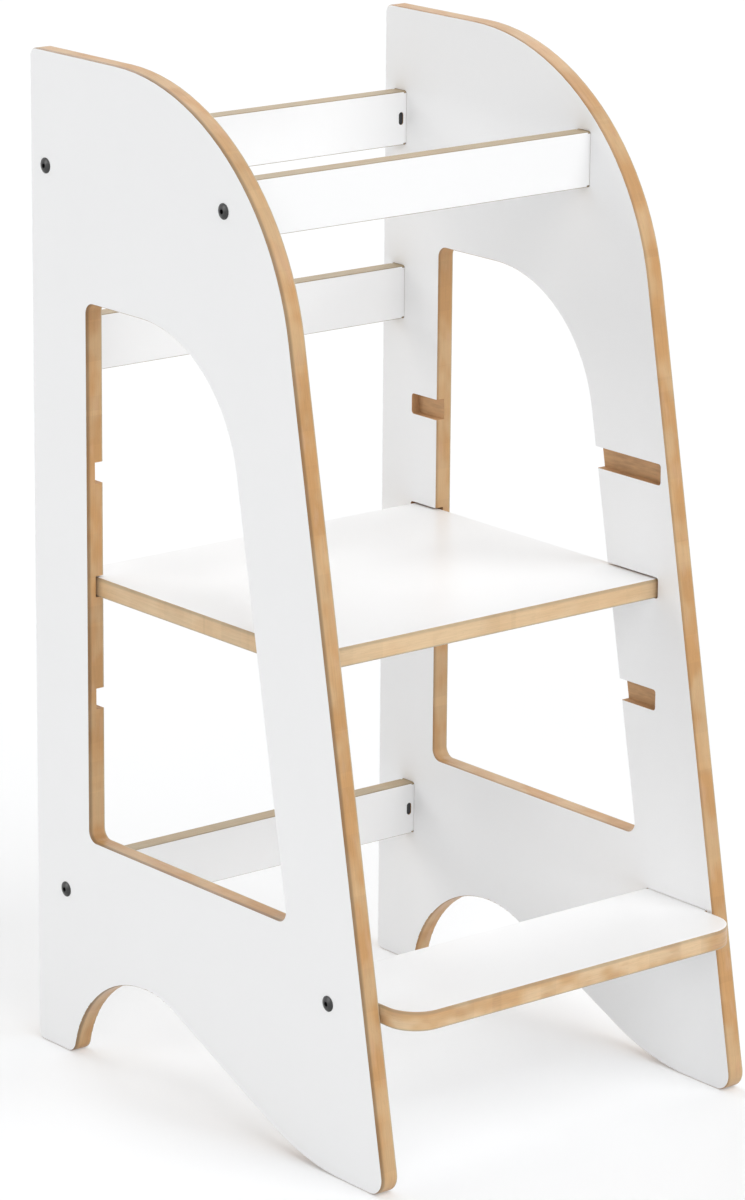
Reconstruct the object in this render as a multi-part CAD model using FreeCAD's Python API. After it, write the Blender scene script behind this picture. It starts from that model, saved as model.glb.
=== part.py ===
import FreeCAD, Part
import math
import os

# Toddler kitchen helper stool: two side panels joined by four rails and a fixed step,
# with a standing platform that sits in one of three pairs of blind slots.
# Millimetres. +Z is up, the step is at the front, towards -Y, and the left side is at -X.
# The origin is on the floor, in the middle of the whole stool.
# A "reach" is a distance forward from the side panels' rear edges.

# Boards
board = 18.0                      # thickness of every board
edge_easing = 1.5                 # rounding along the boards' edges
overall_width = 420.0             # over the side panels' outer faces
overall_height = 920.0            # floor to the top of the side panels

# Side panels: outline
panel_reach = 501.0               # rear edge to the front edge's line at the floor
front_lean = 10.6                 # degrees that the front edge leans back from upright
crown_radius = 245.0              # large curve from the top edge into the front edge
crown_corner_radius = 8.0         # top rear corner
toe_radius = 16.0                 # front bottom corner
heel_radius = 6.0                 # rear bottom corner
foot_corner_radius = 12.0         # corner between the rear foot and the arch

# Side panels: feet and the arch between them
rear_foot_length = 54.5
front_foot_length = 57.0
arch_peak_height = 92.0
arch_radius = 110.0
arch_ramp_slope = 24.0            # degrees, straight run from the arch down to the front foot

# Side panels: window
post_width = 80.0                 # upright strip behind the window
leg_width = 95.0                  # leaning strip in front of the window, measured level
window_sill = 211.0               # height of the window's lower edge
window_head_band = 215.0          # top of the panel down to the window's upper edge
window_arch_radius = 137.0
window_corner_radius = 10.0

# Housings and slots cut into the side panels' inner faces
housing_depth = 9.0
housing_corner_radius = 3.0
housing_clearance = 0.4           # all round a rail's or the step's end

# Rails
rail_height = 50.0
rail_end_run = 3.0                # in front of a housing, where a rail is already rounded for it
rear_rail_setback = 13.0          # rear edge to the rear face of the top and middle rails
bottom_rail_setback = 35.0
front_rail_inset = 61.5           # front edge's line, level, to the front top rail
top_rail_drop = 102.0             # top of the panels down to the top rails' centre lines
middle_rail_drop = 266.0
bottom_rail_centre = 155.5        # height above the floor

# Platform and its slots
platform_rear_reach = 47.0
platform_engagement = 6.0         # how far each end reaches into its slot
slot_front_land = 7.5             # highest slot's front end to the front edge
slot_end_clearance = 3.5
slot_head_clearance = 1.5
lowest_platform_top = 350.5
platform_spacing = 104.0
platform_positions = 3
platform_position = 1             # counted from the lowest, which is 0

# Step
step_top = 164.0
step_depth = 127.0
step_overhang = 39.7              # front edge of the panels, at the step's top, to its nose
step_corner_radius = 30.0
step_side_gap = 1.5               # between the step's visible ends and the side panels
step_housed_depth = 81.0          # part of the step's depth that enters the housings

# M6 furniture bolts with low domed heads, and the oblong nuts that they screw into
bolt_diameter = 6.0
bolt_length = 30.0
bolt_head_diameter = 14.0
bolt_head_height = 2.2
bolt_head_rim = 0.4               # straight rim under the dome
bolt_crown_diameter = 6.6         # flat top of the domed head
bolt_socket_flats = 4.0
bolt_socket_depth = 2.8
bolt_tip_chamfer = 0.8
bolt_hole_clearance = 0.3         # radial, in the boards
bolt_hole_end_room = 4.0          # free hole beyond the bolt's tip
nut_thickness = 5.0               # along the bolt
nut_height = 11.5                 # over its rounded ends
nut_length = 13.5                 # from its visible end into the board
nut_recess = 0.4                  # its visible end below the board's face
nut_easing = 0.4                  # rounding round both ends
nut_thread_clearance = 0.08       # radial
nut_inset = 6.0                   # nut's centre to the side panel's inner face
nut_slot_clearance = 0.2          # all round a nut, and past its inner end

cut_margin = 5.0                  # how far a cutting solid stands out of what it cuts
same_plane = 1e-6                 # largest gap between edges that lie in one plane

HALF_CORNER = math.radians(30)    # of a hexagon, between a corner and the middle of a flat
LEFT = -1
RIGHT = 1
SIDES = {"left": LEFT, "right": RIGHT}


def front_edge_reach(height, foot_reach=panel_reach):
    """Reach, at a height, of the leaning front edge, or of a line parallel to it."""
    return foot_reach - math.tan(math.radians(front_lean)) * height


# Worked out from the values above
outer_x = overall_width / 2
inner_x = outer_x - board
housing_x = inner_x + housing_depth
window_head = overall_height - window_head_band
window_line = panel_reach - leg_width
top_rail_centre = overall_height - top_rail_drop
middle_rail_centre = overall_height - middle_rail_drop
front_rail_setback = front_edge_reach(top_rail_centre) - front_rail_inset - board
arch_centre_height = arch_peak_height - arch_radius
arch_peak_reach = rear_foot_length + math.sqrt(arch_radius ** 2 - arch_centre_height ** 2)
highest_slot_top = (
    lowest_platform_top + (platform_positions - 1) * platform_spacing + slot_head_clearance
)
platform_front_reach = (
    front_edge_reach(highest_slot_top) - slot_front_land - slot_end_clearance
)
platform_depth = platform_front_reach - platform_rear_reach
step_front_reach = front_edge_reach(step_top) + step_overhang
step_rear_reach = step_front_reach - step_depth
rear_y = max(step_front_reach, panel_reach) / 2


def at_reach(reach):
    """Y of a point that lies this far forward of the rear edges."""
    return rear_y - reach


def point(reach, height, x=0.0):
    return FreeCAD.Vector(x, at_reach(reach), height)


def arc(start, middle, end):
    return Part.Arc(start, middle, end).toShape()


def rounded_outline(corners):
    """Closed wire in a plane of constant X.

    corners is a list of (reach, height, radius): each corner is rounded by its radius."""
    edges = []
    count = len(corners)
    trimmed = []
    for index in range(count):
        before = point(*corners[index - 1][:2])
        here = point(*corners[index][:2])
        after = point(*corners[(index + 1) % count][:2])
        radius = corners[index][2]
        to_before = (before - here).normalize()
        to_after = (after - here).normalize()
        half_angle = to_before.getAngle(to_after) / 2
        run = radius / math.tan(half_angle)
        bisector = (to_before + to_after).normalize()
        middle = here + bisector * (radius / math.sin(half_angle) - radius)
        trimmed.append((here + to_before * run, middle, here + to_after * run))
    for index in range(count):
        start, middle, end = trimmed[index]
        edges.append(arc(start, middle, end))
        edges.append(Part.LineSegment(end, trimmed[(index + 1) % count][0]).toShape())
    return Part.Wire(edges)


def prism_x(wire, x_low, x_high):
    """Solid made by sweeping a wire of the plane X = 0 from x_low to x_high."""
    face = Part.Face(wire)
    face.translate(FreeCAD.Vector(x_low, 0, 0))
    return face.extrude(FreeCAD.Vector(x_high - x_low, 0, 0))


def bar_x(x_low, x_high, reach_rear, reach_front, z_low, z_high, radius):
    """Bar along X whose four long edges are rounded."""
    corners = [
        (reach_rear, z_low, radius),
        (reach_front, z_low, radius),
        (reach_front, z_high, radius),
        (reach_rear, z_high, radius),
    ]
    return prism_x(rounded_outline(corners), x_low, x_high)


def ease_edges(solid, is_sharp):
    """Round the edges that is_sharp picks out."""
    edges = [edge for edge in solid.Edges if is_sharp(edge)]
    return solid.makeFillet(edge_easing, edges)


def lies_on_x(edge, x):
    box = edge.BoundBox
    return abs(box.XMin - x) < same_plane and abs(box.XMax - x) < same_plane


def lies_on_z(edge, z):
    box = edge.BoundBox
    return abs(box.ZMin - z) < same_plane and abs(box.ZMax - z) < same_plane


# ---------------------------------------------------------------- side panels

def panel_outline():
    """Outline of a side panel, closed along the floor."""
    front_top_reach = front_edge_reach(overall_height)
    corners = [
        (0.0, 0.0, heel_radius),
        (panel_reach, 0.0, toe_radius),
        (front_top_reach, overall_height, crown_radius),
        (0.0, overall_height, crown_corner_radius),
    ]
    return rounded_outline(corners)


def arch_cutter():
    """Solid that leaves the arch between a side panel's feet."""
    # A straight ramp leaves the arch's curve and ends in a sweep, which meets the floor flat.
    ramp = math.radians(arch_ramp_slope)
    centre_height = arch_centre_height
    ramp_top_reach = arch_peak_reach + arch_radius * math.sin(ramp)
    ramp_top_height = centre_height + arch_radius * math.cos(ramp)
    ramp_floor_reach = ramp_top_reach + ramp_top_height / math.tan(ramp)
    sweep_start_reach = panel_reach - front_foot_length
    sweep_radius = (sweep_start_reach - ramp_floor_reach) / math.tan(ramp / 2)
    sweep_end_reach = sweep_start_reach - sweep_radius * math.sin(ramp)
    sweep_end_height = sweep_radius * (1 - math.cos(ramp))
    sweep_middle_reach = sweep_start_reach - sweep_radius * math.sin(ramp / 2)
    sweep_middle_height = sweep_radius * (1 - math.cos(ramp / 2))

    # The rear end of the arch turns into the rear foot through a small rounded corner.
    corner_height = foot_corner_radius
    centre_gap = arch_radius + foot_corner_radius
    corner_rise = corner_height - centre_height
    corner_reach = arch_peak_reach - math.sqrt(centre_gap ** 2 - corner_rise ** 2)
    corner_angle = math.atan2(corner_rise, arch_peak_reach - corner_reach)
    tangent_reach = arch_peak_reach - arch_radius * math.cos(corner_angle)
    tangent_height = centre_height + arch_radius * math.sin(corner_angle)
    corner_sweep = (math.pi / 2 - corner_angle) / 2 + corner_angle
    corner_middle_reach = corner_reach + foot_corner_radius * math.cos(corner_sweep)
    corner_middle_height = corner_height - foot_corner_radius * math.sin(corner_sweep)
    crest_angle = (corner_angle + math.pi / 2 + ramp) / 2
    crest_reach = arch_peak_reach - arch_radius * math.cos(crest_angle)
    crest_height = centre_height + arch_radius * math.sin(crest_angle)

    foot_point = point(corner_reach, 0.0)
    tangent_point = point(tangent_reach, tangent_height)
    ramp_top = point(ramp_top_reach, ramp_top_height)
    sweep_end = point(sweep_end_reach, sweep_end_height)
    sweep_start = point(sweep_start_reach, 0.0)
    below_front = point(sweep_start_reach, -cut_margin)
    below_rear = point(corner_reach, -cut_margin)
    wire = Part.Wire([
        arc(foot_point, point(corner_middle_reach, corner_middle_height), tangent_point),
        arc(tangent_point, point(crest_reach, crest_height), ramp_top),
        Part.LineSegment(ramp_top, sweep_end).toShape(),
        arc(sweep_end, point(sweep_middle_reach, sweep_middle_height), sweep_start),
        Part.LineSegment(sweep_start, below_front).toShape(),
        Part.LineSegment(below_front, below_rear).toShape(),
        Part.LineSegment(below_rear, foot_point).toShape(),
    ])
    return prism_x(wire, -outer_x - cut_margin, outer_x + cut_margin)


def window_cutter():
    """Solid that cuts a side panel's window."""
    corners = [
        (post_width, window_sill, window_corner_radius),
        (front_edge_reach(window_sill, window_line), window_sill, window_corner_radius),
        (front_edge_reach(window_head, window_line), window_head, window_arch_radius),
        (post_width, window_head, window_corner_radius),
    ]
    return prism_x(rounded_outline(corners), -outer_x - cut_margin, outer_x + cut_margin)


def rail_housing(side, setback, centre):
    """Pocket for one end of a rail."""
    room = housing_clearance
    x_low, x_high = sorted((side * (inner_x - cut_margin), side * housing_x))
    return bar_x(
        x_low,
        x_high,
        setback - room,
        setback + board + room,
        centre - rail_height / 2 - room,
        centre + rail_height / 2 + room,
        housing_corner_radius,
    )


def platform_slot(side, position):
    """Slot for one end of the platform, blind at both ends."""
    floor = platform_top(position) - board
    x_low, x_high = sorted((side * (inner_x - cut_margin), side * housing_x))
    return bar_x(
        x_low,
        x_high,
        platform_rear_reach - slot_end_clearance,
        platform_front_reach + slot_end_clearance,
        floor,
        floor + board + slot_head_clearance,
        housing_corner_radius,
    )


def step_housing(side):
    """Pocket for one end of the step."""
    room = housing_clearance
    x_low, x_high = sorted((side * (inner_x - cut_margin), side * housing_x))
    return bar_x(
        x_low,
        x_high,
        step_rear_reach - room,
        step_rear_reach + step_housed_depth + room,
        step_top - board - room,
        step_top + room,
        housing_corner_radius,
    )


def bolt_hole(side, reach, height):
    """Clearance hole for one bolt, through the side panel and into the rail or step."""
    radius = bolt_diameter / 2 + bolt_hole_clearance
    length = cut_margin + bolt_length + bolt_hole_end_room
    start = point(reach, height, side * (outer_x + cut_margin))
    return Part.makeCylinder(radius, length, start, FreeCAD.Vector(-side, 0, 0))


def side_panel(side):
    x_low, x_high = sorted((side * inner_x, side * outer_x))
    blank = prism_x(panel_outline(), x_low, x_high)
    blank = blank.cut(arch_cutter())
    blank = blank.cut(window_cutter())
    blank = ease_edges(blank, lambda edge: lies_on_x(edge, x_low) or lies_on_x(edge, x_high))
    for setback, centre in RAILS.values():
        blank = blank.cut(rail_housing(side, setback, centre))
    for position in range(platform_positions):
        blank = blank.cut(platform_slot(side, position))
    blank = blank.cut(step_housing(side))
    for reach, height, _ in BOLTED.values():
        blank = blank.cut(bolt_hole(side, reach, height))
    return blank


# ------------------------------------------------------------- rails and boards

def oblong_bar(width, height, y_start, y_end):
    """Bar along the Y axis whose top and bottom are half round."""
    half_width = width / 2
    straight = height / 2 - half_width
    low_left = FreeCAD.Vector(-half_width, y_start, -straight)
    high_left = FreeCAD.Vector(-half_width, y_start, straight)
    high_right = FreeCAD.Vector(half_width, y_start, straight)
    low_right = FreeCAD.Vector(half_width, y_start, -straight)
    wire = Part.Wire([
        Part.LineSegment(low_left, high_left).toShape(),
        arc(high_left, FreeCAD.Vector(0, y_start, height / 2), high_right),
        Part.LineSegment(high_right, low_right).toShape(),
        arc(low_right, FreeCAD.Vector(0, y_start, -height / 2), low_left),
    ])
    return Part.Face(wire).extrude(FreeCAD.Vector(0, y_end - y_start, 0))


def place_nut_shape(solid, side, reach, height, facing):
    """Put a nut or its slot, made facing -Y about the origin, on its bolt's line.

    facing is the board's face that it opens in: "front", "rear" or "under"."""
    if facing == "rear":
        solid.rotate(FreeCAD.Vector(), FreeCAD.Vector(0, 0, 1), 180)
    if facing == "under":
        solid.rotate(FreeCAD.Vector(), FreeCAD.Vector(1, 0, 0), 90)
    solid.translate(point(reach, height, side * (inner_x - nut_inset)))
    return solid


def nut_slot(side, reach, height, facing):
    """Slot that takes a nut in from a board's face."""
    width = nut_thickness + 2 * nut_slot_clearance
    length = nut_height + 2 * nut_slot_clearance
    inner_end = nut_recess - board / 2 + nut_length + nut_slot_clearance
    slot = oblong_bar(width, length, -board / 2 - cut_margin, inner_end)
    return place_nut_shape(slot, side, reach, height, facing)


def cut_fixings(solid, name):
    """Bolt holes and nut slots of a bolted rail or of the step."""
    reach, height, facing = BOLTED[name]
    for side in SIDES.values():
        solid = solid.cut(bolt_hole(side, reach, height))
        solid = solid.cut(nut_slot(side, reach, height, facing))
    return solid


def rail(name):
    setback, centre = RAILS[name]
    z_low = centre - rail_height / 2
    z_high = centre + rail_height / 2
    front = setback + board
    plain_x = inner_x - rail_end_run
    body = bar_x(-plain_x, plain_x, setback, front, z_low, z_high, edge_easing)
    ends = bar_x(-housing_x, housing_x, setback, front, z_low, z_high, housing_corner_radius)
    solid = body.fuse(ends).removeSplitter()
    if name in BOLTED:
        solid = cut_fixings(solid, name)
    return solid


def platform_top(position):
    return lowest_platform_top + position * platform_spacing


def platform():
    half_length = inner_x + platform_engagement
    top = platform_top(platform_position)
    front = at_reach(platform_front_reach)
    solid = Part.makeBox(2 * half_length, platform_depth, board)
    solid.translate(FreeCAD.Vector(-half_length, front, top - board))
    return ease_edges(solid, lambda edge: lies_on_z(edge, top) or lies_on_z(edge, top - board))


def front_step():
    half_length = inner_x - step_side_gap
    bottom = step_top - board
    front = at_reach(step_front_reach)
    slab = Part.makeBox(2 * half_length, step_depth, board)
    slab.translate(FreeCAD.Vector(-half_length, front, bottom))
    front_corners = [
        edge for edge in slab.Edges
        if edge.BoundBox.ZLength > board / 2 and edge.BoundBox.YMax < front + board / 2
    ]
    slab = slab.makeFillet(step_corner_radius, front_corners)
    slab = ease_edges(slab, lambda edge: lies_on_z(edge, step_top) or lies_on_z(edge, bottom))
    housed = step_rear_reach + step_housed_depth
    tongue = bar_x(
        -housing_x, housing_x, step_rear_reach, housed, bottom, step_top, housing_corner_radius
    )
    return cut_fixings(slab.fuse(tongue).removeSplitter(), "front_step")


# ------------------------------------------------------------------- fasteners

def hexagon(flats, first_corner):
    """Face in the plane X = 0, centred on the X axis; first_corner in degrees from +Y."""
    radius = flats / 2 / math.cos(HALF_CORNER)
    corners = []
    for index in range(7):
        angle = math.radians(first_corner + 60 * index)
        corners.append(FreeCAD.Vector(0, radius * math.cos(angle), radius * math.sin(angle)))
    return Part.Face(Part.makePolygon(corners))


def lathe_x(profile):
    """Turn a list of wires' edges, drawn in the plane Z = 0, about the X axis."""
    face = Part.Face(Part.Wire(profile))
    return face.revolve(FreeCAD.Vector(), FreeCAD.Vector(1, 0, 0), 360)


def bolt(side, reach, height):
    """Bolt with a hexagon socket: its domed head seats on the side panel's outer face."""
    shank = bolt_diameter / 2
    head = bolt_head_diameter / 2
    crown = bolt_crown_diameter / 2
    rim = bolt_head_rim
    rise = bolt_head_height - rim
    centre = (head ** 2 - crown ** 2 - rise ** 2) / (2 * rise)
    dome_radius = math.hypot(head, centre)
    half_angle = (math.atan2(centre, head) + math.atan2(centre + rise, crown)) / 2
    dome_middle = FreeCAD.Vector(
        rim + dome_radius * math.sin(half_angle) - centre, dome_radius * math.cos(half_angle), 0
    )
    tip = -bolt_length
    outline = [
        FreeCAD.Vector(bolt_head_height, 0, 0),
        FreeCAD.Vector(tip, 0, 0),
        FreeCAD.Vector(tip, shank - bolt_tip_chamfer, 0),
        FreeCAD.Vector(tip + bolt_tip_chamfer, shank, 0),
        FreeCAD.Vector(0, shank, 0),
        FreeCAD.Vector(0, head, 0),
        FreeCAD.Vector(rim, head, 0),
    ]
    crown_edge = FreeCAD.Vector(bolt_head_height, crown, 0)
    profile = [
        Part.LineSegment(start, end).toShape() for start, end in zip(outline, outline[1:])
    ]
    profile.append(arc(outline[-1], dome_middle, crown_edge))
    profile.append(Part.LineSegment(crown_edge, outline[0]).toShape())
    solid = lathe_x(profile)
    socket = hexagon(bolt_socket_flats, 90)
    socket.translate(FreeCAD.Vector(bolt_head_height - bolt_socket_depth, 0, 0))
    solid = solid.cut(socket.extrude(FreeCAD.Vector(bolt_socket_depth + cut_margin, 0, 0)))
    if side == LEFT:
        solid.rotate(FreeCAD.Vector(), FreeCAD.Vector(0, 0, 1), 180)
    solid.translate(point(reach, height, side * outer_x))
    return solid


def nut(side, reach, height, facing):
    """Oblong nut, its end just below a board's face and its bore along the X axis."""
    outer_end = nut_recess - board / 2
    inner_end = outer_end + nut_length
    blank = oblong_bar(nut_thickness, nut_height, outer_end, inner_end)
    rims = [edge for edge in blank.Edges if edge.BoundBox.YLength < nut_length / 2]
    blank = blank.makeFillet(nut_easing, rims)
    bore_radius = bolt_diameter / 2 + nut_thread_clearance
    bore_length = nut_thickness + 2 * cut_margin
    bore_start = FreeCAD.Vector(-bore_length / 2, 0, 0)
    bore = Part.makeCylinder(bore_radius, bore_length, bore_start, FreeCAD.Vector(1, 0, 0))
    return place_nut_shape(blank.cut(bore), side, reach, height, facing)


# Rails: rear face's reach and centre height
RAILS = {
    "rear_top_rail": (rear_rail_setback, top_rail_centre),
    "front_top_rail": (front_rail_setback, top_rail_centre),
    "rear_middle_rail": (rear_rail_setback, middle_rail_centre),
    "rear_bottom_rail": (bottom_rail_setback, bottom_rail_centre),
}

# Bolted pieces: the bolts' reach and height, and the face that the nut slots open in
BOLTED = {
    "rear_top_rail": (rear_rail_setback + board / 2, top_rail_centre, "front"),
    "front_top_rail": (front_rail_setback + board / 2, top_rail_centre, "rear"),
    "rear_bottom_rail": (bottom_rail_setback + board / 2, bottom_rail_centre, "front"),
    "front_step": (step_rear_reach + step_housed_depth / 2, step_top - board / 2, "under"),
}

FASTENER_NAMES = {
    "rear_top_rail": "rear_top",
    "front_top_rail": "front_top",
    "rear_bottom_rail": "rear_bottom",
    "front_step": "step",
}


def build():
    parts = {}
    for side_name, side in SIDES.items():
        parts[side_name + "_side_panel"] = side_panel(side)
    for name in RAILS:
        parts[name] = rail(name)
    parts["platform"] = platform()
    parts["front_step"] = front_step()
    for name, (reach, height, facing) in BOLTED.items():
        for side_name, side in SIDES.items():
            stem = side_name + "_" + FASTENER_NAMES[name]
            parts[stem + "_bolt"] = bolt(side, reach, height)
            parts[stem + "_nut"] = nut(side, reach, height, facing)
    return parts


os.makedirs("parts", exist_ok=True)
for node, shape in build().items():
    if not shape.isValid():
        raise ValueError(node + " is not a valid solid")
    if len(shape.Solids) != 1:
        raise ValueError(node + " is not one solid")
    shape.Solids[0].exportStep("parts/" + node + ".step")
    box = shape.optimalBoundingBox(False)
    size = "%.1f x %.1f x %.1f mm" % (box.XLength, box.YLength, box.ZLength)
    print("%-24s %s, %.1f cm3" % (node, size, shape.Volume / 1000))
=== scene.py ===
import math
from collections import namedtuple

import bpy
from bpy.props import FloatProperty, FloatVectorProperty, PointerProperty
from mathutils import Matrix, Vector


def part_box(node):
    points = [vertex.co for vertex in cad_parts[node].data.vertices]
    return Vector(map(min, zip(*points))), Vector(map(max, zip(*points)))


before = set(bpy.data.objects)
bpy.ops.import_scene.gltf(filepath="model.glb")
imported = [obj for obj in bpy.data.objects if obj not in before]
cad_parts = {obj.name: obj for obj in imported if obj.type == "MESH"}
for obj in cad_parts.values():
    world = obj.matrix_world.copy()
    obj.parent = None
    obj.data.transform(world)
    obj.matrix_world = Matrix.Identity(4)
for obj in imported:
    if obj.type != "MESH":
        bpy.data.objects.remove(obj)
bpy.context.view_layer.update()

bl_info = {
    "name": "Kitchen helper stool finishes",
    "version": (1, 0, 0),
    "blender": (4, 5, 0),
    "location": "3D View > Sidebar > Stool",
    "description": "Finishes, floor, lights and camera for a toddler's kitchen helper stool",
    "category": "Material",
}

MM = 0.001
X, Y, Z = 0, 1, 2

SIDE_PANELS = ("left_side_panel", "right_side_panel")
RAILS = ("rear_top_rail", "front_top_rail", "rear_middle_rail", "rear_bottom_rail")
BOLTS = tuple(sorted(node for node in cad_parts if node.endswith("_bolt")))
NUTS = tuple(sorted(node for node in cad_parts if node.endswith("_nut")))
BOLT_HEAD_DIAMETER = 14 * MM

# Painted shade and painted sheen on the rounded edge of a board beside one of its faces: how far
# they reach from that face, how bright the painted shade leaves that stretch beside the rest of
# the edge, and how much of the painted sheen's grey it has
Rim = namedtuple("Rim", "reach brightness greyness")
# Painted sheen on the side panels' higher sides; painted shade with some painted sheen on the
# rails' edges and beside the tops of the platform and the step
PAINTED_SHEEN_RIM = Rim(2.8 * MM, 1.0, 0.85)
PAINTED_RAIL_RIM = Rim(1.8 * MM, 0.7, 0.5)
PAINTED_TOP_RIM = Rim(4.5 * MM, 0.76, 0.25)

# One board: the axis of its thickness, the setting that holds the paler wood of its edges, the
# most that it shows of the warmer wood, an offset that sets its pattern apart from the others,
# and its rims of painted shade and painted sheen beside the lower and the higher of its faces
# along that axis
Board = namedtuple("Board", "axis wood warmth offset rims")
BOARDS = {
    # The dark rims beside the side panels' lower faces are painted shade of the rounded edges,
    # darkest on the left panel
    "left_side_panel": Board(X, "light", 1.0, 11.0, (Rim(5.2 * MM, 0.52, 0.0), PAINTED_SHEEN_RIM)),
    "right_side_panel": Board(X, "light", 1.0, 18.0, (Rim(3.6 * MM, 0.74, 0.0), PAINTED_SHEEN_RIM)),
    "rear_top_rail": Board(Y, "rail", 0.15, 31.0, (PAINTED_RAIL_RIM, PAINTED_RAIL_RIM)),
    "front_top_rail": Board(Y, "rail", 0.15, 36.0, (PAINTED_RAIL_RIM, PAINTED_RAIL_RIM)),
    "rear_middle_rail": Board(Y, "rail", 0.15, 41.0, (PAINTED_RAIL_RIM, PAINTED_RAIL_RIM)),
    "rear_bottom_rail": Board(Y, "rail", 0.15, 46.0, (PAINTED_RAIL_RIM, PAINTED_RAIL_RIM)),
    "platform": Board(Z, "pale", 0.25, 53.0, (Rim(2.4 * MM, 0.88, 0.8), PAINTED_TOP_RIM)),
    "front_step": Board(Z, "pale", 0.75, 61.0, (Rim(2.4 * MM, 0.84, 0.8), PAINTED_TOP_RIM)),
}

# Room that the cuts leave round what goes into them
FIT_ROOM = Vector((0.6, 0.6, 0.6)) * MM
SLOT_ROOM = Vector((3.3, 3.7, 1.6)) * MM
NUT_SLOT_ROOM = Vector((0.3, 1.0, 0.3)) * MM
STEP_NUT_SLOT_ROOM = Vector((0.3, 0.3, 1.0)) * MM
BOLT_HOLE_ROOM = Vector((4.5, 0.5, 0.5)) * MM

# Pairs of slots for the platform, counted up from the pair that it stands in
SLOT_LEVELS = (-1, 0, 1)
SLOT_SPACING = 104 * MM

# Telling a board's flat faces from its edges
SAME_PLANE = 0.02 * MM
FLAT_NORMAL = 0.999

# A board's material slots
LAMINATE, EDGE, RAW = 0, 1, 2

# Parts of a pattern's values over which each of these comes in, from none of it to all of it
SHEEN_VALUES = (0.3, 0.7)
STREAK_VALUES = (0.25, 0.75)
STRIP_VALUES = (0.2, 0.8)
PORE_VALUES = (0.62, 0.74)
WARM_VALUES = (0.38, 0.62)
ROSY_VALUES = (0.55, 0.75)
RAW_VALUES = (0.35, 0.65)

# Lamps: the setting of their strength, then in degrees where they stand round the stool (0 is at
# its left, 90 in front of it), how high they stand, and how broad they look from it
Lamp = namedtuple("Lamp", "setting turn height spread")
LAMPS = (
    Lamp("front_light", 98, 41, 60),
    Lamp("top_light", 0, 90, 60),
    Lamp("left_rear_light", -25, 17, 30),
    Lamp("left_front_light", 38, 25, 35),
    Lamp("right_light", 200, 30, 40),
    Lamp("rear_light", 265, 35, 40),
)
CAMERA_SENSOR = 36.0              # millimetres, along its longer side


# ------------------------------------------------------------------ settings

class LaminateSettings(bpy.types.PropertyGroup):
    """White laminate on the boards' faces."""

    colour: FloatVectorProperty(
        name="Colour",
        description="Colour of the laminate",
        default=(0.864, 0.865, 0.867),
        size=3,
        subtype="COLOR",
        min=0,
        max=1,
    )
    roughness: FloatProperty(
        name="Roughness",
        description="Satin sheen of the laminate",
        default=0.34,
        subtype="FACTOR",
        min=0,
        max=1,
    )
    pearl_size: FloatProperty(
        name="Pearl size",
        description="Spacing of the fine pearl texture pressed into the laminate",
        default=0.0007,
        unit="LENGTH",
        precision=5,
        min=0.0001,
    )
    pearl_depth: FloatProperty(
        name="Pearl depth",
        description="Depth of the pearl texture",
        default=0.000012,
        unit="LENGTH",
        precision=6,
        min=0,
    )


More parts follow.
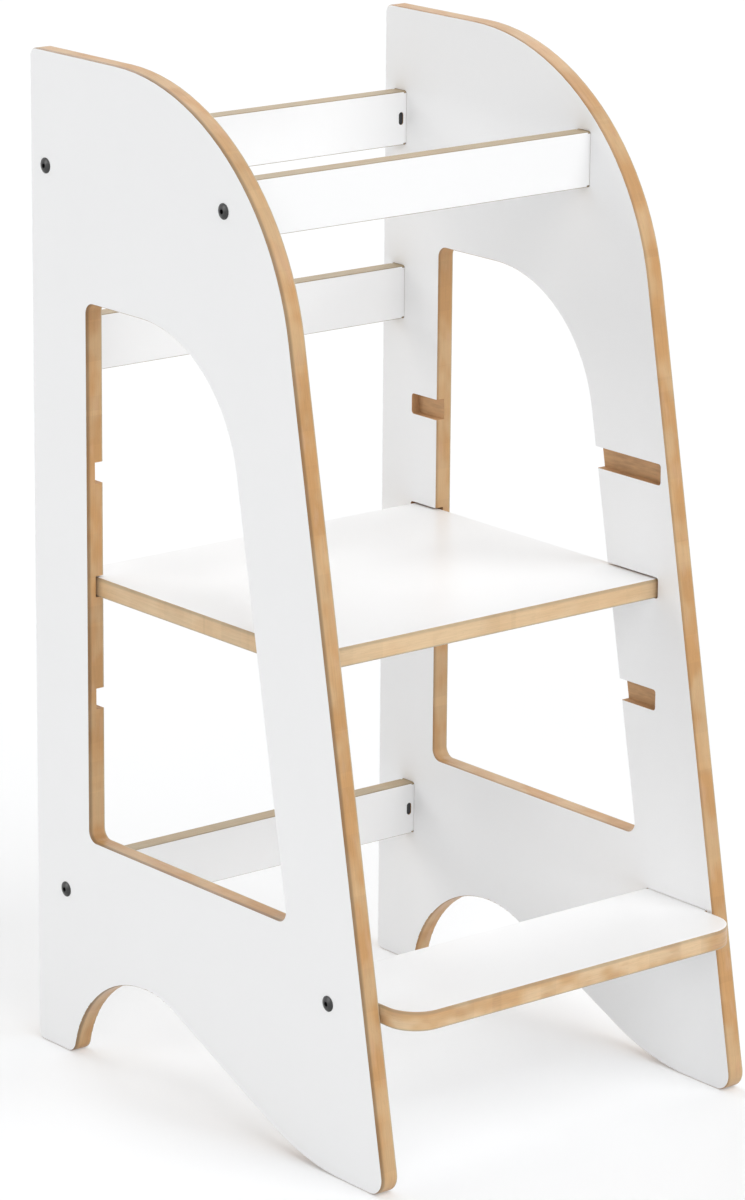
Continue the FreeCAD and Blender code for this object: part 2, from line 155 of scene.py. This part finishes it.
class EdgeWoodSettings(bpy.types.PropertyGroup):
    """Lacquered wood that shows round the boards' edges."""

    light: FloatVectorProperty(
        name="Light wood",
        description="Colour of the paler stretches of the side panels' edges",
        default=(0.54, 0.348, 0.176),
        size=3,
        subtype="COLOR",
        min=0,
        max=1,
    )
    pale: FloatVectorProperty(
        name="Pale wood",
        description="Colour of the paler stretches of the platform's and the step's edges",
        default=(0.66, 0.475, 0.28),
        size=3,
        subtype="COLOR",
        min=0,
        max=1,
    )
    rail: FloatVectorProperty(
        name="Rail wood",
        description="Greyer colour of the rails' edges",
        default=(0.40, 0.302, 0.175),
        size=3,
        subtype="COLOR",
        min=0,
        max=1,
    )
    orange: FloatVectorProperty(
        name="Orange wood",
        description="Colour of the warmer stretches",
        default=(0.49, 0.265, 0.1),
        size=3,
        subtype="COLOR",
        min=0,
        max=1,
    )
    rosy: FloatVectorProperty(
        name="Rosy wood",
        description="Colour of the reddish spots",
        default=(0.53, 0.315, 0.165),
        size=3,
        subtype="COLOR",
        min=0,
        max=1,
    )
    # Grey of the painted sheen along the rims of the edges, standing in for their reflection of
    # the white room
    rim: FloatVectorProperty(
        name="Rim",
        description="Greyer colour of the wood where it meets the laminate",
        default=(0.47, 0.39, 0.265),
        size=3,
        subtype="COLOR",
        min=0,
        max=1,
    )
    laminate_thickness: FloatProperty(
        name="Laminate thickness",
        description="How far the white skin reaches round the eased edge",
        default=0.00025,
        unit="LENGTH",
        precision=5,
        min=0,
    )
    grain_width: FloatProperty(
        name="Grain width",
        description="Spacing of the streaks across the edge",
        default=0.0011,
        unit="LENGTH",
        precision=5,
        min=0.0001,
    )
    grain_length: FloatProperty(
        name="Grain length",
        description="Length of the streaks along the edge",
        default=0.035,
        unit="LENGTH",
        min=0.001,
    )
    streak_strength: FloatProperty(
        name="Streak strength",
        description="How far the streaks lighten and darken the wood",
        default=0.16,
        subtype="FACTOR",
        min=0,
        max=1,
    )
    pore_strength: FloatProperty(
        name="Pore strength",
        description="How far the pores darken the wood",
        default=0.12,
        subtype="FACTOR",
        min=0,
        max=1,
    )
    cloud_size: FloatProperty(
        name="Cloud size",
        description="Length of the warmer and paler stretches along the edge",
        default=0.05,
        unit="LENGTH",
        min=0.001,
    )
    rosy_share: FloatProperty(
        name="Rosy share",
        description="How much of the rosy colour the spots have where the wood is warmest",
        default=0.7,
        subtype="FACTOR",
        min=0,
        max=1,
    )
    strip_length: FloatProperty(
        name="Strip length",
        description="Length of the strips that the edge is jointed from",
        default=0.09,
        unit="LENGTH",
        min=0.001,
    )
    strip_contrast: FloatProperty(
        name="Strip contrast",
        description="Difference of tone from one strip to the next",
        default=0.07,
        subtype="FACTOR",
        min=0,
        max=1,
    )
    roughness: FloatProperty(
        name="Roughness",
        description="Sheen of the lacquer on the edges",
        default=0.34,
        subtype="FACTOR",
        min=0,
        max=1,
    )
    grain_depth: FloatProperty(
        name="Grain depth",
        description="Depth of the streaks and pores",
        default=0.00003,
        unit="LENGTH",
        precision=6,
        min=0,
    )


class RawBoardSettings(bpy.types.PropertyGroup):
    """Bare board inside the slots, housings and holes."""

    colour: FloatVectorProperty(
        name="Colour",
        description="Colour of the cut board",
        default=(0.52, 0.31, 0.155),
        size=3,
        subtype="COLOR",
        min=0,
        max=1,
    )
    roughness: FloatProperty(
        name="Roughness",
        description="Dullness of the cut board",
        default=0.72,
        subtype="FACTOR",
        min=0,
        max=1,
    )
    cutter_marks: FloatProperty(
        name="Cutter marks",
        description="Spacing of the router's marks",
        default=0.0016,
        unit="LENGTH",
        precision=5,
        min=0.0001,
    )
    mark_depth: FloatProperty(
        name="Mark depth",
        description="Depth of the router's marks",
        default=0.00008,
        unit="LENGTH",
        precision=6,
        min=0,
    )


class FastenerSettings(bpy.types.PropertyGroup):
    """Black oxide steel of the bolts and nuts."""

    colour: FloatVectorProperty(
        name="Colour",
        description="Colour of the blackened steel",
        default=(0.062, 0.062, 0.062),
        size=3,
        subtype="COLOR",
        min=0,
        max=1,
    )
    metal: FloatProperty(
        name="Metal",
        description="How far the blackened steel shines as bare metal does",
        default=0.9,
        subtype="FACTOR",
        min=0,
        max=1,
    )
    roughness: FloatProperty(
        name="Roughness",
        description="Sheen of the blackened steel",
        default=0.33,
        subtype="FACTOR",
        min=0,
        max=1,
    )
    turning_marks: FloatProperty(
        name="Turning marks",
        description="Spacing of the rings left by turning the heads",
        default=0.00035,
        unit="LENGTH",
        precision=5,
        min=0.00005,
    )
    mark_depth: FloatProperty(
        name="Mark depth",
        description="Depth of the rings and blotches",
        default=0.000012,
        unit="LENGTH",
        precision=6,
        min=0,
    )


class StageSettings(bpy.types.PropertyGroup):
    """Floor, lamps and camera."""

    floor_colour: FloatVectorProperty(
        name="Floor colour",
        description="Colour of the plain floor",
        default=(0.925, 0.93, 0.937),
        size=3,
        subtype="COLOR",
        min=0,
        max=1,
    )
    floor_white: FloatProperty(
        name="Floor white",
        description="Share of plain white in the floor as it is seen: it keeps the shadow faint",
        default=0.27,
        subtype="FACTOR",
        min=0,
        max=1,
    )
    floor_size: FloatProperty(
        name="Floor size",
        description="Length of the floor's sides",
        default=80.0,
        unit="LENGTH",
        min=1,
    )
    sky_light: FloatProperty(
        name="Sky light",
        description="Strength of the even light from all round",
        default=0.2,
        min=0,
    )
    front_light: FloatProperty(
        name="Front light",
        description="Strength of the broad lamp high over the front",
        default=1.85,
        min=0,
    )
    top_light: FloatProperty(
        name="Top light",
        description="Strength of the broad lamp overhead",
        default=0.35,
        min=0,
    )
    left_rear_light: FloatProperty(
        name="Left rear light",
        description="Strength of the low lamp behind the left side",
        default=0.62,
        min=0,
    )
    left_front_light: FloatProperty(
        name="Left front light",
        description="Strength of the lamp at the front left",
        default=0.51,
        min=0,
    )
    right_light: FloatProperty(
        name="Right light",
        description="Strength of the lamp over the right side",
        default=0.6,
        min=0,
    )
    rear_light: FloatProperty(
        name="Rear light",
        description="Strength of the lamp behind the stool",
        default=1.05,
        min=0,
    )
    camera_place: FloatVectorProperty(
        name="Camera place",
        description="Where the camera stands",
        default=(-2.776, -3.3567, 1.6606),
        size=3,
        subtype="TRANSLATION",
        unit="LENGTH",
    )
    camera_heading: FloatProperty(
        name="Camera heading",
        description="Turn of the camera about the vertical, from looking along +Y",
        default=math.radians(-39.32),
        subtype="ANGLE",
    )
    camera_tilt: FloatProperty(
        name="Camera tilt",
        description="Tilt of the camera above the horizon",
        default=math.radians(-15.67),
        subtype="ANGLE",
    )
    camera_roll: FloatProperty(
        name="Camera roll",
        description="Turn of the camera about its own line of sight",
        default=math.radians(0.49),
        subtype="ANGLE",
    )
    lens: FloatProperty(
        name="Lens",
        description="Focal length in millimetres",
        default=153.07,
        min=1,
    )


SETTINGS = {
    "stool_laminate": LaminateSettings,
    "stool_edge_wood": EdgeWoodSettings,
    "stool_raw_board": RawBoardSettings,
    "stool_fasteners": FastenerSettings,
    "stool_stage": StageSettings,
}


# ------------------------------------------------------------- node building

class Nodes:
    """Short ways of adding nodes to the tree of a material or of the world."""

    def __init__(self, owner):
        owner.use_nodes = True
        self.owner = owner
        self.tree = owner.node_tree
        self.tree.nodes.clear()

    def node(self, kind, inputs=None, **options):
        """Adds a node; inputs gives its sockets' values or the sockets that feed them."""
        made = self.tree.nodes.new(kind)
        for option, value in options.items():
            setattr(made, option, value)
        for socket, value in (inputs or {}).items():
            if isinstance(value, bpy.types.NodeSocket):
                self.tree.links.new(value, made.inputs[socket])
            else:
                made.inputs[socket].default_value = value
        return made

    def calc(self, operation, first, second=0.0, third=0.0):
        """Works out one sum."""
        inputs = {0: first, 1: second, 2: third}
        return self.node("ShaderNodeMath", inputs, operation=operation).outputs[0]

    def ramp(self, value, source, target=(0.0, 1.0), smooth=True):
        """Takes a value from the source range to the target range, and no further."""
        kind = "SMOOTHSTEP" if smooth else "LINEAR"
        inputs = dict(enumerate((value, *source, *target)))
        return self.node("ShaderNodeMapRange", inputs, interpolation_type=kind).outputs[0]

    def seen_rays(self):
        """1 for rays from the camera, in reflections and through glass, and 0 for light."""
        path = self.node("ShaderNodeLightPath").outputs
        seen = self.calc("MAXIMUM", path["Is Camera Ray"], path["Is Glossy Ray"])
        return self.calc("MAXIMUM", seen, path["Is Transmission Ray"])


class Finish(Nodes):
    """A new material."""

    def __init__(self, name):
        super().__init__(bpy.data.materials.new(name))

    def place(self):
        """Position in the stool's own frame, which stays with the piece when it moves."""
        return self.node("ShaderNodeTexCoord").outputs["Object"]

    def stretch(self, place, spacing, offset=0.0):
        """Position divided by a spacing for each axis."""
        scale = tuple(1 / distance for distance in spacing)
        inputs = {0: place, 1: scale, 2: (offset, offset, offset)}
        return self.node("ShaderNodeVectorMath", inputs, operation="MULTIPLY_ADD").outputs[0]

    def noise(self, place, detail=2.0, roughness=0.5, scale=1.0):
        """Cloudy pattern from 0 to 1, with about this many clouds to each unit of position."""
        inputs = {"Vector": place, "Scale": scale, "Detail": detail, "Roughness": roughness}
        return self.node("ShaderNodeTexNoise", inputs).outputs["Fac"]

    def cells(self, place):
        """Value that changes by a step from one cell of about unit size to the next."""
        return self.node("ShaderNodeTexVoronoi", {"Vector": place}).outputs["Color"]

    def mixed(self, first, second, share):
        """Two patterns added up, with this share of the first."""
        return self.calc("MULTIPLY_ADD", first, share, self.calc("MULTIPLY", second, 1 - share))

    def blend(self, factor, first, second):
        """Goes from the first colour to the second as the factor goes from 0 to 1."""
        first, second = (
            colour if isinstance(colour, bpy.types.NodeSocket) else (*colour, 1)
            for colour in (first, second)
        )
        inputs = {0: factor, 6: first, 7: second}
        return self.node("ShaderNodeMix", inputs, data_type="RGBA").outputs[2]

    def toned(self, pattern, colour, start, end):
        """Colour times a brightness from start, where the pattern is 0, to end, where it is 1."""
        start_colour = tuple(channel * start for channel in colour)
        end_colour = tuple(channel * end for channel in colour)
        return self.blend(pattern, start_colour, end_colour)

    def shaded(self, colour, brightness):
        """Colour times a brightness that comes from a node."""
        inputs = {0: colour, "Scale": brightness}
        return self.node("ShaderNodeVectorMath", inputs, operation="SCALE").outputs[0]

    def uneven(self, pattern, roughness, less, more):
        """Roughness that a pattern takes from this much less to this much more."""
        return self.ramp(pattern, SHEEN_VALUES, (roughness - less, roughness + more))

    def bump(self, height, depth):
        """Relief of a height from 0 to 1, this deep in metres."""
        inputs = {"Height": height, "Distance": depth, "Strength": 1.0}
        return self.node("ShaderNodeBump", inputs).outputs[0]

    def surface(self, **inputs):
        """Ends the material in a Principled shader. An underscore stands for a space."""
        named = {socket.replace("_", " "): value for socket, value in inputs.items()}
        shader = self.node("ShaderNodeBsdfPrincipled", named)
        self.node("ShaderNodeOutputMaterial", {"Surface": shader.outputs[0]})
        return self.owner


# ------------------------------------------------------------------- finishes

def white_laminate(settings):
    """Satin white laminate with a fine pressed pearl texture and faint smudges."""
    finish = Finish("white_laminate")
    place = finish.place()
    pearl = finish.noise(finish.stretch(place, (settings.pearl_size,) * 3), detail=1.0)
    smudges = finish.noise(place, detail=3.0, scale=9.0)
    tone = finish.mixed(pearl, smudges, share=0.5)
    return finish.surface(
        Base_Color=finish.toned(tone, settings.colour, start=0.985, end=1.015),
        Roughness=finish.uneven(smudges, settings.roughness, less=0.03, more=0.04),
        Normal=finish.bump(pearl, settings.pearl_depth),
    )


def edge_wood(scene, node):
    """Wood along one board's edges. Its streaks run lengthwise, so they are narrow across it."""
    settings = scene.stool_edge_wood
    board = BOARDS[node]
    finish = Finish("edge_wood_" + node)
    place = finish.place()

    def pattern(length, width, offset):
        """Position in patterns this long along the edge and this wide across it."""
        spacing = [length] * 3
        spacing[board.axis] = width
        return finish.stretch(place, spacing, offset)

    # Sizes of the patterns, along the edge and across it: a strip is as thick as the board
    streak_size = (settings.grain_length, settings.grain_width)
    pore_size = (settings.grain_length / 6, settings.grain_width / 3)
    cloud_size = (settings.cloud_size, settings.cloud_size / 2)
    spot_size = (settings.cloud_size / 2, settings.cloud_size / 6)
    beyond_board = 1000 * settings.strip_length
    strip_size = (settings.strip_length, beyond_board)

    # Patterns, each with an offset of its own so that no two of them line up
    streaks = finish.noise(pattern(*streak_size, board.offset), detail=4.0, roughness=0.6)
    pores = finish.noise(pattern(*pore_size, board.offset * 2), detail=1.0)
    pores = finish.ramp(pores, PORE_VALUES)
    clouds = finish.noise(pattern(*cloud_size, board.offset * 3), detail=2.0)
    spots = finish.noise(pattern(*spot_size, board.offset * 5), detail=1.0)
    strips = finish.cells(pattern(*strip_size, board.offset * 7))

    # Colour of the wood
    warmth = finish.ramp(clouds, WARM_VALUES, (0.0, board.warmth))
    rosiness = finish.ramp(spots, ROSY_VALUES, (0.0, settings.rosy_share * board.warmth))
    wood = finish.blend(warmth, tuple(getattr(settings, board.wood)), tuple(settings.orange))
    wood = finish.blend(rosiness, wood, tuple(settings.rosy))

    # Brightness of its streaks, strips and pores
    streak, strip = settings.streak_strength / 2, settings.strip_contrast / 2
    brightness = finish.ramp(streaks, STREAK_VALUES, (1 + streak, 1 - streak), smooth=False)
    strip_tone = finish.ramp(strips, STRIP_VALUES, (-strip, strip), smooth=False)
    brightness = finish.calc("ADD", brightness, strip_tone)
    brightness = finish.calc("MULTIPLY_ADD", pores, -settings.pore_strength, brightness)

    # Rims beside the board's two faces, whose inner borders waver with the streaks: painted shade
    # that darkens the rounded edge and painted sheen that greys it
    waver = 0.3 * MM
    full_share = 0.35             # of a rim's reach, over which it doesn't fade yet
    low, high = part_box(node)
    through = finish.node("ShaderNodeSeparateXYZ", {0: place}).outputs[board.axis]
    depths = (
        finish.calc("SUBTRACT", through, low[board.axis]),
        finish.calc("SUBTRACT", high[board.axis], through),
    )
    for depth, rim in zip(depths, board.rims):
        wavering = finish.calc("MULTIPLY_ADD", streaks, waver, depth)
        painted_rim_share = finish.ramp(wavering, (full_share * rim.reach, rim.reach), (1.0, 0.0))
        # Painted sheen: the rim's grey stands in for the reflection along the rounded edge
        greyness = finish.calc("MULTIPLY", painted_rim_share, rim.greyness)
        wood = finish.blend(greyness, wood, tuple(settings.rim))
        # Painted shade: the rim darkens the wood towards the face
        painted_shade = finish.calc("MULTIPLY_ADD", painted_rim_share, rim.brightness - 1, 1.0)
        brightness = finish.calc("MULTIPLY", brightness, painted_shade)

    # White skin of the laminate, seen on edge
    skin = settings.laminate_thickness
    nearest = finish.calc("MINIMUM", *depths)
    in_skin = finish.ramp(nearest, (0.8 * skin, 1.2 * skin), (1.0, 0.0))
    white = tuple(scene.stool_laminate.colour)
    base = finish.blend(in_skin, finish.shaded(wood, brightness), white)
    pore_depth = 0.6              # beside the depth of the streaks
    relief = finish.calc("MULTIPLY_ADD", pores, -pore_depth, streaks)
    return finish.surface(
        Base_Color=base,
        Roughness=finish.uneven(streaks, settings.roughness, less=0.05, more=0.08),
        Normal=finish.bump(relief, settings.grain_depth),
    )


def raw_board(settings):
    """Bare wood with the marks of the cutter, inside slots and holes."""
    finish = Finish("raw_board")
    place = finish.place()
    marks = settings.cutter_marks
    fibre_spacing = (0.6 * marks, 12 * marks, 2 * marks)
    fibres = finish.noise(finish.stretch(place, fibre_spacing), detail=4.0)
    patches = finish.noise(place, detail=2.0, scale=30.0)
    tone = finish.ramp(finish.mixed(fibres, patches, share=0.6), RAW_VALUES)
    return finish.surface(
        Base_Color=finish.toned(tone, settings.colour, start=1.12, end=0.82),
        Roughness=settings.roughness,
        Normal=finish.bump(fibres, settings.mark_depth),
    )


def black_steel(settings):
    """Blackened steel with blotches, and faint rings round the piece's own middle line."""
    finish = Finish("black_steel")
    own_place = finish.node("ShaderNodeTexCoord").outputs["Generated"]
    parts = finish.node("ShaderNodeSeparateXYZ", {0: own_place}).outputs
    middle = 0.5                  # generated places go from 0 to 1 across the piece
    across = finish.calc("SUBTRACT", parts[Y], middle)
    up = finish.calc("SUBTRACT", parts[Z], middle)
    square = finish.calc("MULTIPLY_ADD", across, across, finish.calc("MULTIPLY", up, up))
    radius = finish.node("ShaderNodeCombineXYZ", {0: finish.calc("SQRT", square)}).outputs[0]
    rings_across_head = BOLT_HEAD_DIAMETER / settings.turning_marks
    rings = finish.noise(radius, detail=2.0, scale=rings_across_head)
    blotches = finish.noise(finish.place(), detail=3.0, scale=700.0)
    return finish.surface(
        Base_Color=finish.toned(blotches, settings.colour, start=0.8, end=1.25),
        Metallic=settings.metal,
        Roughness=finish.uneven(rings, settings.roughness, less=0.06, more=0.1),
        Normal=finish.bump(finish.mixed(rings, blotches, share=0.6), settings.mark_depth),
    )


def plain_floor(settings):
    """Pale matt floor, part of it plain white as it is seen, so that its shadow stays faint."""
    finish = Finish("plain_floor")
    mottle = finish.noise(finish.place(), detail=2.0, scale=1.5)
    base = finish.toned(mottle, settings.floor_colour, start=0.995, end=1.005)
    matt = finish.node("ShaderNodeBsdfDiffuse", {"Color": base}).outputs[0]
    white = finish.node("ShaderNodeEmission", {"Color": (1, 1, 1, 1), "Strength": 1.0}).outputs[0]
    share = finish.calc("MULTIPLY", finish.seen_rays(), settings.floor_white)
    both = finish.node("ShaderNodeMixShader", {0: share, 1: matt, 2: white})
    finish.node("ShaderNodeOutputMaterial", {"Surface": both.outputs[0]})
    return finish.owner


# ------------------------------------------------------------ faces of a board

def grown_box(node, room, rise=0.0):
    """Box of what goes into a cut, with the room that the cut leaves round it."""
    low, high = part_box(node)
    shift = Vector((0, 0, rise))
    return low - room + shift, high + room + shift


def panel_cuts():
    """Boxes that hold the housings and the slots in the side panels."""
    boxes = [grown_box(node, FIT_ROOM) for node in RAILS + ("front_step",)]
    boxes += [grown_box("platform", SLOT_ROOM, SLOT_SPACING * level) for level in SLOT_LEVELS]
    return boxes


def fastener_cuts():
    """Boxes that hold the bolts' holes and the nuts' slots."""
    boxes = [grown_box(bolt, BOLT_HOLE_ROOM) for bolt in BOLTS]
    for nut in NUTS:
        room = STEP_NUT_SLOT_ROOM if "step" in nut else NUT_SLOT_ROOM
        boxes.append(grown_box(nut, room))
    return boxes


def inside(point, boxes):
    """Whether a point is in any of the boxes."""
    return any(
        all(low[axis] <= point[axis] <= high[axis] for axis in (X, Y, Z)) for low, high in boxes
    )


def finish_board(scene, node, cuts=()):
    """Gives a board's faces laminate, its edges wood and its cuts raw board."""
    materials = bpy.data.materials
    axis = BOARDS[node].axis
    low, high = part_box(node)
    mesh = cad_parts[node].data
    mesh.materials.clear()
    mesh.materials.append(materials.get("white_laminate") or white_laminate(scene.stool_laminate))
    mesh.materials.append(edge_wood(scene, node))
    mesh.materials.append(materials.get("raw_board") or raw_board(scene.stool_raw_board))
    for face in mesh.polygons:
        place = face.center[axis]
        off_faces = min(abs(place - low[axis]), abs(place - high[axis]))
        if abs(face.normal[axis]) > FLAT_NORMAL and off_faces < SAME_PLANE:
            face.material_index = LAMINATE
        elif inside(face.center, cuts):
            face.material_index = RAW
        else:
            face.material_index = EDGE


# ----------------------------------------------------------------------- stage

def build_floor(scene, settings):
    half = settings.floor_size / 2
    corners = [(-half, -half, 0), (half, -half, 0), (half, half, 0), (-half, half, 0)]
    mesh = bpy.data.meshes.new("floor")
    mesh.from_pydata(corners, [], [(0, 1, 2, 3)])
    mesh.materials.append(plain_floor(settings))
    floor = bpy.data.objects.new("floor", mesh)
    scene.collection.objects.link(floor)


def build_lamp(scene, lamp, strength):
    light = bpy.data.lights.new(lamp.setting, "SUN")
    light.energy = strength
    light.angle = math.radians(lamp.spread)
    turn, height = math.radians(lamp.turn), math.radians(lamp.height)
    level = math.cos(height)
    to_lamp = Vector((-math.cos(turn) * level, -math.sin(turn) * level, math.sin(height)))
    holder = bpy.data.objects.new(lamp.setting, light)
    holder.rotation_mode = "QUATERNION"
    holder.rotation_quaternion = to_lamp.to_track_quat("Z", "Y")
    scene.collection.objects.link(holder)


def build_sky(scene, settings):
    """Even light from all round, whose own picture is plain white."""
    scene.world = bpy.data.worlds.new("studio")
    sky = Nodes(scene.world)
    strength = sky.ramp(sky.seen_rays(), (0.0, 1.0), (settings.sky_light, 1.0))
    background = sky.node("ShaderNodeBackground", {"Color": (1, 1, 1, 1), "Strength": strength})
    sky.node("ShaderNodeOutputWorld", {"Surface": background.outputs[0]})


def build_camera(scene, settings):
    camera = bpy.data.cameras.new("camera")
    camera.sensor_width = CAMERA_SENSOR
    camera.lens = settings.lens
    holder = bpy.data.objects.new("camera", camera)
    turn = Matrix.Rotation(settings.camera_heading, 3, "Z")
    tilt = Matrix.Rotation(math.pi / 2 + settings.camera_tilt, 3, "X")
    roll = Matrix.Rotation(settings.camera_roll, 3, "Z")
    holder.matrix_world = (turn @ tilt @ roll).to_4x4()
    holder.location = settings.camera_place
    scene.collection.objects.link(holder)
    scene.camera = holder


# ------------------------------------------------------------------- operators

class STOOL_OT_finish_side_panels(bpy.types.Operator):
    """Finish the two side panels: laminate faces, wood edges, bare slots and housings"""

    bl_idname = "stool.finish_side_panels"
    bl_label = "Finish side panels"

    def execute(self, context):
        cuts = panel_cuts() + fastener_cuts()
        for node in SIDE_PANELS:
            finish_board(context.scene, node, cuts)
        return {"FINISHED"}


class STOOL_OT_finish_rails(bpy.types.Operator):
    """Finish the four rails between the side panels"""

    bl_idname = "stool.finish_rails"
    bl_label = "Finish rails"

    def execute(self, context):
        for node in RAILS:
            finish_board(context.scene, node, fastener_cuts())
        return {"FINISHED"}


class STOOL_OT_finish_platform(bpy.types.Operator):
    """Finish the board that the child stands on"""

    bl_idname = "stool.finish_platform"
    bl_label = "Finish platform"

    def execute(self, context):
        finish_board(context.scene, "platform")
        return {"FINISHED"}


class STOOL_OT_finish_step(bpy.types.Operator):
    """Finish the fixed step"""

    bl_idname = "stool.finish_step"
    bl_label = "Finish step"

    def execute(self, context):
        finish_board(context.scene, "front_step", fastener_cuts())
        return {"FINISHED"}


class STOOL_OT_finish_fasteners(bpy.types.Operator):
    """Finish the bolts and the nuts"""

    bl_idname = "stool.finish_fasteners"
    bl_label = "Finish bolts and nuts"

    def execute(self, context):
        steel = black_steel(context.scene.stool_fasteners)
        for node in BOLTS + NUTS:
            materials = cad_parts[node].data.materials
            materials.clear()
            materials.append(steel)
        return {"FINISHED"}


class STOOL_OT_build_stage(bpy.types.Operator):
    """Build the floor, the lamps, the sky and the camera"""

    bl_idname = "stool.build_stage"
    bl_label = "Build stage"

    def execute(self, context):
        scene = context.scene
        settings = scene.stool_stage
        build_floor(scene, settings)
        for lamp in LAMPS:
            build_lamp(scene, lamp, getattr(settings, lamp.setting))
        build_sky(scene, settings)
        build_camera(scene, settings)
        scene.view_settings.view_transform = "Standard"
        return {"FINISHED"}


OPERATORS = (
    STOOL_OT_finish_side_panels,
    STOOL_OT_finish_rails,
    STOOL_OT_finish_platform,
    STOOL_OT_finish_step,
    STOOL_OT_finish_fasteners,
    STOOL_OT_build_stage,
)


class STOOL_PT_finishes(bpy.types.Panel):
    """Buttons and settings for the stool, in the 3D view's sidebar"""

    bl_idname = "STOOL_PT_finishes"
    bl_label = "Kitchen helper stool"
    bl_space_type = "VIEW_3D"
    bl_region_type = "UI"
    bl_category = "Stool"

    def draw(self, context):
        for operator in OPERATORS:
            self.layout.operator(operator.bl_idname)
        for group, kind in SETTINGS.items():
            box = self.layout.box()
            box.label(text=kind.__doc__)
            for name in kind.__annotations__:
                box.prop(getattr(context.scene, group), name)


def register():
    for group, kind in SETTINGS.items():
        bpy.utils.register_class(kind)
        setattr(bpy.types.Scene, group, PointerProperty(type=kind))
    for kind in OPERATORS + (STOOL_PT_finishes,):
        bpy.utils.register_class(kind)


def unregister():
    for kind in reversed(OPERATORS + (STOOL_PT_finishes,)):
        bpy.utils.unregister_class(kind)
    for group, kind in reversed(SETTINGS.items()):
        delattr(bpy.types.Scene, group)
        bpy.utils.unregister_class(kind)


def main():
    register()
    bpy.ops.stool.finish_side_panels()
    bpy.ops.stool.finish_rails()
    bpy.ops.stool.finish_platform()
    bpy.ops.stool.finish_step()
    bpy.ops.stool.finish_fasteners()
    bpy.ops.stool.build_stage()


if __name__ == "__main__":
    main()
